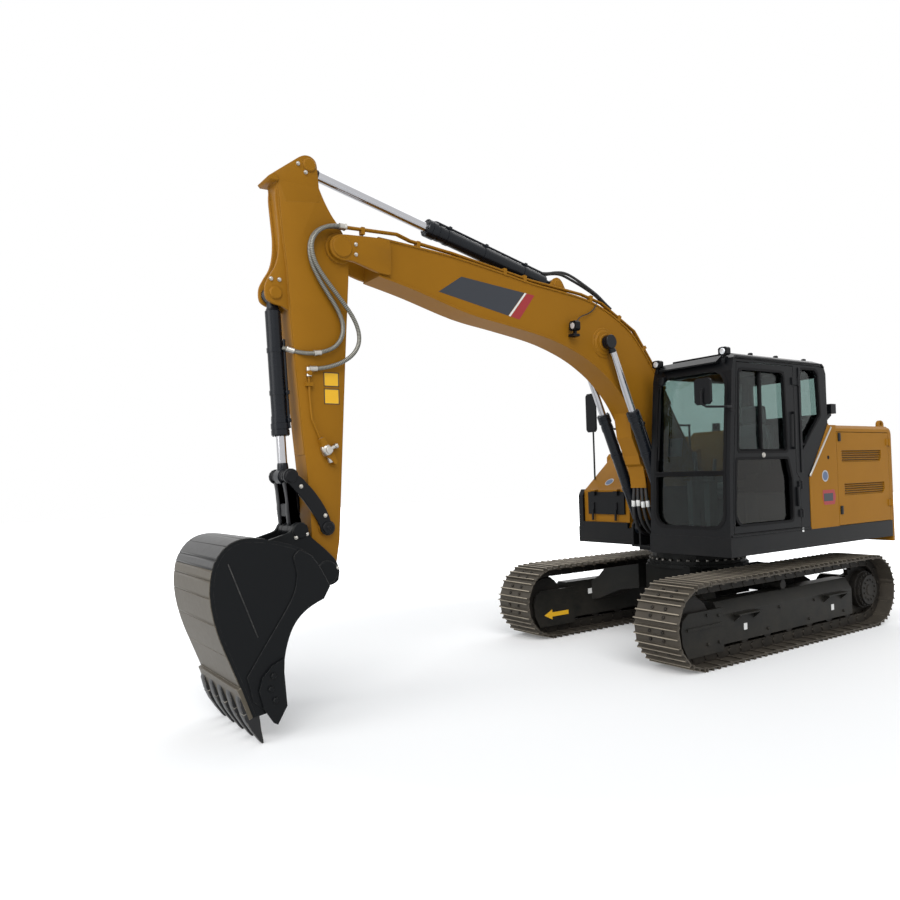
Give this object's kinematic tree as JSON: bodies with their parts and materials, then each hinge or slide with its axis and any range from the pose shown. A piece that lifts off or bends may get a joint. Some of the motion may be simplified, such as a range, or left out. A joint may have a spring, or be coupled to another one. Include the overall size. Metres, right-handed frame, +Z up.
{
  "type": "crawler excavator",
  "caption": "Hydraulic crawler excavator with a jointed boom, arm and bucket on a slewing upper structure with a glazed cab.",
  "frame": {"origin": "middle of the footprint of the whole machine, on the ground under the tracks", "axes": "+X forward towards the bucket, +Y to the left (cab side), +Z up"},
  "size_m": [7.7001, 2.5372, 4.2415],
  "materials": {
    "black_paint": "semi-gloss",
    "worn_steel": "worn",
    "yellow_paint": "semi-gloss",
    "glass": "clear",
    "seat_fabric": "matt",
    "grey_plastic": "matt",
    "engine_iron": "matt",
    "chrome": "polished"
  },
  "bodies": {
    "undercarriage": {"car_body": "black_paint", "slewing_ring": "black_paint", "track_frame_left": "black_paint", "track_frame_right": "black_paint", "track_left": "worn_steel", "track_right": "worn_steel", "idler_left": "black_paint", "idler_right": "black_paint", "sprocket_left": "black_paint", "sprocket_right": "black_paint", "track_rollers_left": "black_paint", "track_rollers_right": "black_paint"},
    "upper_structure": {"swing_frame": "black_paint", "boom_brackets": "black_paint", "counterweight": "yellow_paint", "cab_frame": "black_paint", "cab_glass": "glass", "cab_seat": "seat_fabric", "cab_consoles": "grey_plastic", "body_panels": "yellow_paint", "engine_block": "engine_iron", "fuel_tank": "yellow_paint", "tool_box": "yellow_paint", "mirrors": "black_paint", "work_lamps": "black_paint"},
    "boom": {"boom": "yellow_paint", "boom_pipes": "yellow_paint", "boom_lamp": "black_paint", "hose_guard": "yellow_paint"},
    "arm": {"arm": "yellow_paint", "arm_pipe": "yellow_paint"},
    "bucket": {"bucket": "black_paint", "bucket_teeth": "worn_steel", "side_cutters": "black_paint"},
    "boom_cylinder_barrels": {"boom_cylinder_barrel": "black_paint"},
    "boom_cylinder_rods": {"boom_cylinder_rod": "chrome"},
    "arm_cylinder_barrel": {"arm_cylinder_barrel": "black_paint"},
    "arm_cylinder_rod": {"arm_cylinder_rod": "chrome"},
    "bucket_cylinder_barrel": {"bucket_cylinder_barrel": "black_paint"},
    "bucket_cylinder_rod": {"bucket_cylinder_rod": "chrome"},
    "idler_links": {"idler_links": "black_paint"},
    "h_link": {"h_link": "black_paint"},
    "cab_door": {"cab_door": "black_paint", "cab_door_glass": "glass"},
    "engine_hood": {"engine_hood": "yellow_paint"},
    "side_door_left": {"side_door_left": "yellow_paint"},
    "side_door_right": {"side_door_right": "yellow_paint"},
    "tool_box_door": {"tool_box_door": "black_paint"}
  },
  "joints": [
    {"name": "swing", "type": "hinge", "parent": "undercarriage", "child": "upper_structure", "pos_m": [-1.5725, 0, 0.875], "axis": [0, 0, 1], "continuous": true},
    {"name": "boom_lift", "type": "hinge", "parent": "upper_structure", "child": "boom", "pos_m": [-1.4725, 0, 1.64], "axis": [0, -1, 0], "range_deg": [-50, 38]},
    {"name": "arm_curl", "type": "hinge", "parent": "boom", "child": "arm", "pos_m": [2.7075, 0, 3.562], "axis": [0, 1, 0], "range_deg": [-85, 32]},
    {"name": "bucket_curl", "type": "hinge", "parent": "arm", "child": "bucket", "pos_m": [2.9055, 0, 1.072], "axis": [0, 1, 0], "range_deg": [-12, 135]},
    {"name": "boom_cylinder_pivot", "type": "hinge", "parent": "upper_structure", "child": "boom_cylinder_barrels", "pos_m": [-0.9225, 0, 1.155], "axis": [0, -1, 0], "range_deg": [-46.75, 35.65]},
    {"name": "boom_cylinder_stroke", "type": "slide", "parent": "boom_cylinder_barrels", "child": "boom_cylinder_rods", "axis": [0.3948, 0, 0.9188], "range_m": [-0.5843, 0.445]},
    {"name": "arm_cylinder_pivot", "type": "hinge", "parent": "boom", "child": "arm_cylinder_barrel", "pos_m": [0.4245, 0, 3.56], "axis": [0, -1, 0], "range_deg": [-1.78, 3.9]},
    {"name": "arm_cylinder_stroke", "type": "slide", "parent": "arm_cylinder_barrel", "child": "arm_cylinder_rod", "axis": [0.9716, 0, 0.2368], "range_m": [-0.857, 0.3251]},
    {"name": "bucket_cylinder_pivot", "type": "hinge", "parent": "arm", "child": "bucket_cylinder_barrel", "pos_m": [3.2185, 0, 3.166], "axis": [0, -1, 0], "range_deg": [-1.07, 6.94]},
    {"name": "bucket_cylinder_stroke", "type": "slide", "parent": "bucket_cylinder_barrel", "child": "bucket_cylinder_rod", "axis": [-0.0403, 0, -0.9992], "range_m": [-0.0659, 0.7007]},
    {"name": "idler_link_pivot", "type": "hinge", "parent": "arm", "child": "idler_links", "pos_m": [2.8825, 0, 1.405], "axis": [0, 1, 0], "range_deg": [-9.08, 96.98]},
    {"name": "h_link_pivot", "type": "hinge", "parent": "idler_links", "child": "h_link", "pos_m": [3.1635, 0, 1.802], "axis": [0, -1, 0], "range_deg": [-7.44, 78.6]},
    {"name": "cab_door_hinge", "type": "hinge", "parent": "upper_structure", "child": "cab_door", "pos_m": [-1.6445, 1.252, 1.9], "axis": [0, 0, 1], "range_deg": [0, 110]},
    {"name": "engine_hood_hinge", "type": "hinge", "parent": "upper_structure", "child": "engine_hood", "pos_m": [-3.3585, 0, 2.231], "axis": [0, -1, 0], "range_deg": [0, 75]},
    {"name": "side_door_left_hinge", "type": "hinge", "parent": "upper_structure", "child": "side_door_left", "pos_m": [-3.3825, 1.257, 1.66], "axis": [0, 0, 1], "range_deg": [0, 100]},
    {"name": "side_door_right_hinge", "type": "hinge", "parent": "upper_structure", "child": "side_door_right", "pos_m": [-3.3825, -1.257, 1.66], "axis": [0, 0, -1], "range_deg": [0, 100]},
    {"name": "tool_box_door_hinge", "type": "hinge", "parent": "upper_structure", "child": "tool_box_door", "pos_m": [-0.9585, -0.795, 1.558], "axis": [0, -1, 0], "range_deg": [0, 100]}
  ],
  "couplings": [
    {"joint": "boom_cylinder_pivot", "follows": "boom_lift", "ratio": 0.925},
    {"joint": "boom_cylinder_stroke", "follows": "boom_lift", "m_per_rad": 0.665},
    {"joint": "arm_cylinder_pivot", "follows": "arm_curl", "ratio": -0.04},
    {"joint": "arm_cylinder_stroke", "follows": "arm_curl", "m_per_rad": 0.575},
    {"joint": "bucket_cylinder_pivot", "follows": "bucket_curl", "ratio": 0.0477},
    {"joint": "bucket_cylinder_stroke", "follows": "bucket_curl", "m_per_rad": 0.2957},
    {"joint": "idler_link_pivot", "follows": "bucket_curl", "ratio": 0.7147},
    {"joint": "h_link_pivot", "follows": "bucket_curl", "ratio": 0.5785}
  ]
}
